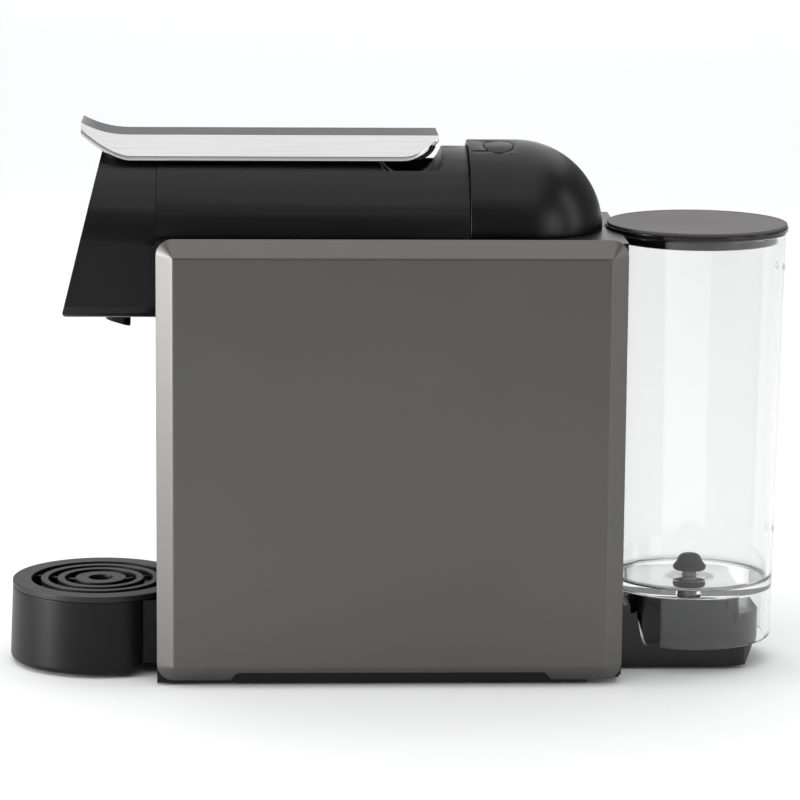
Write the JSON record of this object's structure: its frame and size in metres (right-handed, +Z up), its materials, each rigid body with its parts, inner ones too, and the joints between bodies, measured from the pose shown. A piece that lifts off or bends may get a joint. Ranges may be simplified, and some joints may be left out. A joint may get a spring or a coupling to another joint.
{
  "type": "pod coffee machine",
  "caption": "Slim countertop pod coffee machine with flat metal side panels, a chromed lever, a round drip cup in front and a clear water tank behind.",
  "frame": {"origin": "on the worktop, under the middle of the machine's overall box", "axes": "-Y towards the coffee outlet, +Y towards the water tank, +Z up, X across the machine"},
  "size_m": [0.109, 0.3289, 0.2323],
  "materials": {
    "satin_black": "satin moulded black",
    "gloss_black": "glossy moulded black",
    "panel_grey": "satin titanium grey lacquer",
    "lever_chrome": "polished chrome plate",
    "clear_plastic": "clear moulded plastic",
    "lid_grey": "fine matte dark grey",
    "grille_grey": "matte dark grey",
    "rubber_black": "soft black rubber",
    "pale_plastic": "natural moulded nylon",
    "grey_plastic": "glass filled grey nylon",
    "zinc_steel": "zinc plated steel",
    "stainless": "brushed stainless steel",
    "cast_aluminium": "sand cast aluminium",
    "brass": "machined brass",
    "circuit_green": "solder mask green",
    "component_mix": "electronic components",
    "hose_silicone": "translucent silicone and PTFE",
    "cable_black": "black cable sheath"
  },
  "bodies": {
    "housing": {"base_plate": "satin_black", "rubber_feet": "rubber_black", "frame_screws": "zinc_steel", "front_frame": "satin_black", "rear_frame": "satin_black", "cable_gland": "rubber_black", "top_deck": "satin_black", "panel_clips": "pale_plastic", "top_cowl": "satin_black", "rear_dome": "satin_black", "head_cover": "satin_black", "brew_frame_right": "stainless", "brew_frame_left": "stainless", "frame_pins": "stainless", "extraction_plate": "grey_plastic", "extraction_seal": "rubber_black", "brew_duct": "grey_plastic", "coffee_outlet": "satin_black", "capsule_guide": "satin_black", "tank_base": "gloss_black", "socket_seal": "rubber_black", "flow_meter_body": "pale_plastic", "flow_meter_cover": "pale_plastic", "pump_coil": "grey_plastic", "pump_core": "pale_plastic", "pump_outlet": "brass", "pump_mounts": "rubber_black", "thermoblock": "cast_aluminium", "thermostats": "stainless", "thermoblock_bracket": "zinc_steel", "main_board": "circuit_green", "board_components": "component_mix", "button_board": "circuit_green", "button_switches": "component_mix", "water_hoses": "hose_silicone", "hot_water_elbow": "pale_plastic", "mains_cable": "cable_black"},
    "right_panel": {"side_panel_right": "panel_grey"},
    "left_panel": {"side_panel_left": "panel_grey"},
    "lever": {"lever": "lever_chrome", "lever_core": "satin_black", "lever_pins": "stainless"},
    "pull_link": {"pull_link": "stainless"},
    "rear_links": {"rear_links": "stainless"},
    "front_links": {"front_links": "stainless"},
    "brew_chamber": {"brew_chamber": "grey_plastic", "piercing_blades": "stainless"},
    "capsule_drawer": {"drawer_front": "satin_black", "capsule_container": "satin_black"},
    "drip_cup": {"drip_cup": "satin_black"},
    "drip_grille": {"drip_grille": "grille_grey"},
    "water_tank": {"water_tank": "clear_plastic"},
    "tank_lid": {"tank_lid": "lid_grey", "tank_lid_rim": "gloss_black"},
    "tank_valve": {"valve_stem": "pale_plastic", "valve_cap": "rubber_black"},
    "short_cup_button": {"short_cup_button": "satin_black"},
    "long_cup_button": {"long_cup_button": "satin_black"},
    "pump_plunger": {"pump_plunger": "stainless"},
    "flow_meter_rotor": {"flow_meter_rotor": "pale_plastic"}
  },
  "joints": [
    {"name": "lever_hinge", "type": "hinge", "parent": "housing", "child": "lever", "pos_m": [0, 0.0042, 0.22], "axis": [-1, 0, 0], "range_deg": [0, 80]},
    {"name": "pull_link_pivot", "type": "hinge", "parent": "lever", "child": "pull_link", "pos_m": [0, -0.0198, 0.214], "axis": [-1, 0, 0], "range_deg": [-84, 0]},
    {"name": "rear_links_pivot", "type": "hinge", "parent": "housing", "child": "rear_links", "pos_m": [0, 0.02, 0.168], "axis": [-1, 0, 0], "range_deg": [0, 59.1]},
    {"name": "front_links_pivot", "type": "hinge", "parent": "rear_links", "child": "front_links", "pos_m": [0, -0.014, 0.168], "axis": [-1, 0, 0], "range_deg": [-118.1, 0]},
    {"name": "brew_chamber_slide", "type": "slide", "parent": "housing", "child": "brew_chamber", "axis": [0, 1, 0], "range_m": [0, 0.0331]},
    {"name": "capsule_drawer_slide", "type": "slide", "parent": "housing", "child": "capsule_drawer", "axis": [0, -1, 0], "range_m": [0, 0.1]},
    {"name": "drip_cup_slide", "type": "slide", "parent": "capsule_drawer", "child": "drip_cup", "axis": [0, -1, 0], "range_m": [0, 0.03]},
    {"name": "drip_grille_lift", "type": "slide", "parent": "drip_cup", "child": "drip_grille", "axis": [0, 0, 1], "range_m": [0, 0.03]},
    {"name": "water_tank_lift", "type": "slide", "parent": "housing", "child": "water_tank", "axis": [0, 0, 1], "range_m": [0, 0.08]},
    {"name": "tank_lid_lift", "type": "slide", "parent": "water_tank", "child": "tank_lid", "axis": [0, 0, 1], "range_m": [0, 0.03]},
    {"name": "tank_valve_slide", "type": "slide", "parent": "water_tank", "child": "tank_valve", "axis": [0, 0, 1], "range_m": [-0.0022, 0]},
    {"name": "short_cup_button_press", "type": "slide", "parent": "housing", "child": "short_cup_button", "axis": [0, 0, -1], "range_m": [0, 0.0012], "stiffness_N_per_m": 400},
    {"name": "long_cup_button_press", "type": "slide", "parent": "housing", "child": "long_cup_button", "axis": [0, 0, -1], "range_m": [0, 0.0012], "stiffness_N_per_m": 400},
    {"name": "right_panel_pull", "type": "slide", "parent": "housing", "child": "right_panel", "axis": [1, 0, 0], "range_m": [0, 0.02]},
    {"name": "left_panel_pull", "type": "slide", "parent": "housing", "child": "left_panel", "axis": [-1, 0, 0], "range_m": [0, 0.02]},
    {"name": "pump_plunger_stroke", "type": "slide", "parent": "housing", "child": "pump_plunger", "axis": [0, 1, 0], "range_m": [-0.004, 0.004], "stiffness_N_per_m": 1500},
    {"name": "flow_meter_spin", "type": "hinge", "parent": "housing", "child": "flow_meter_rotor", "pos_m": [-0.02, 0.068, 0.0145], "axis": [0, 0, 1], "continuous": true}
  ],
  "couplings": [
    {"joint": "pull_link_pivot", "follows": "lever_hinge", "ratio": -1.0405},
    {"joint": "rear_links_pivot", "follows": "lever_hinge", "ratio": 0.7375},
    {"joint": "front_links_pivot", "follows": "lever_hinge", "ratio": -1.475},
    {"joint": "brew_chamber_slide", "follows": "lever_hinge", "m_per_rad": 0.02362},
    {"joint": "tank_valve_slide", "follows": "water_tank_lift", "ratio": -0.0275}
  ]
}
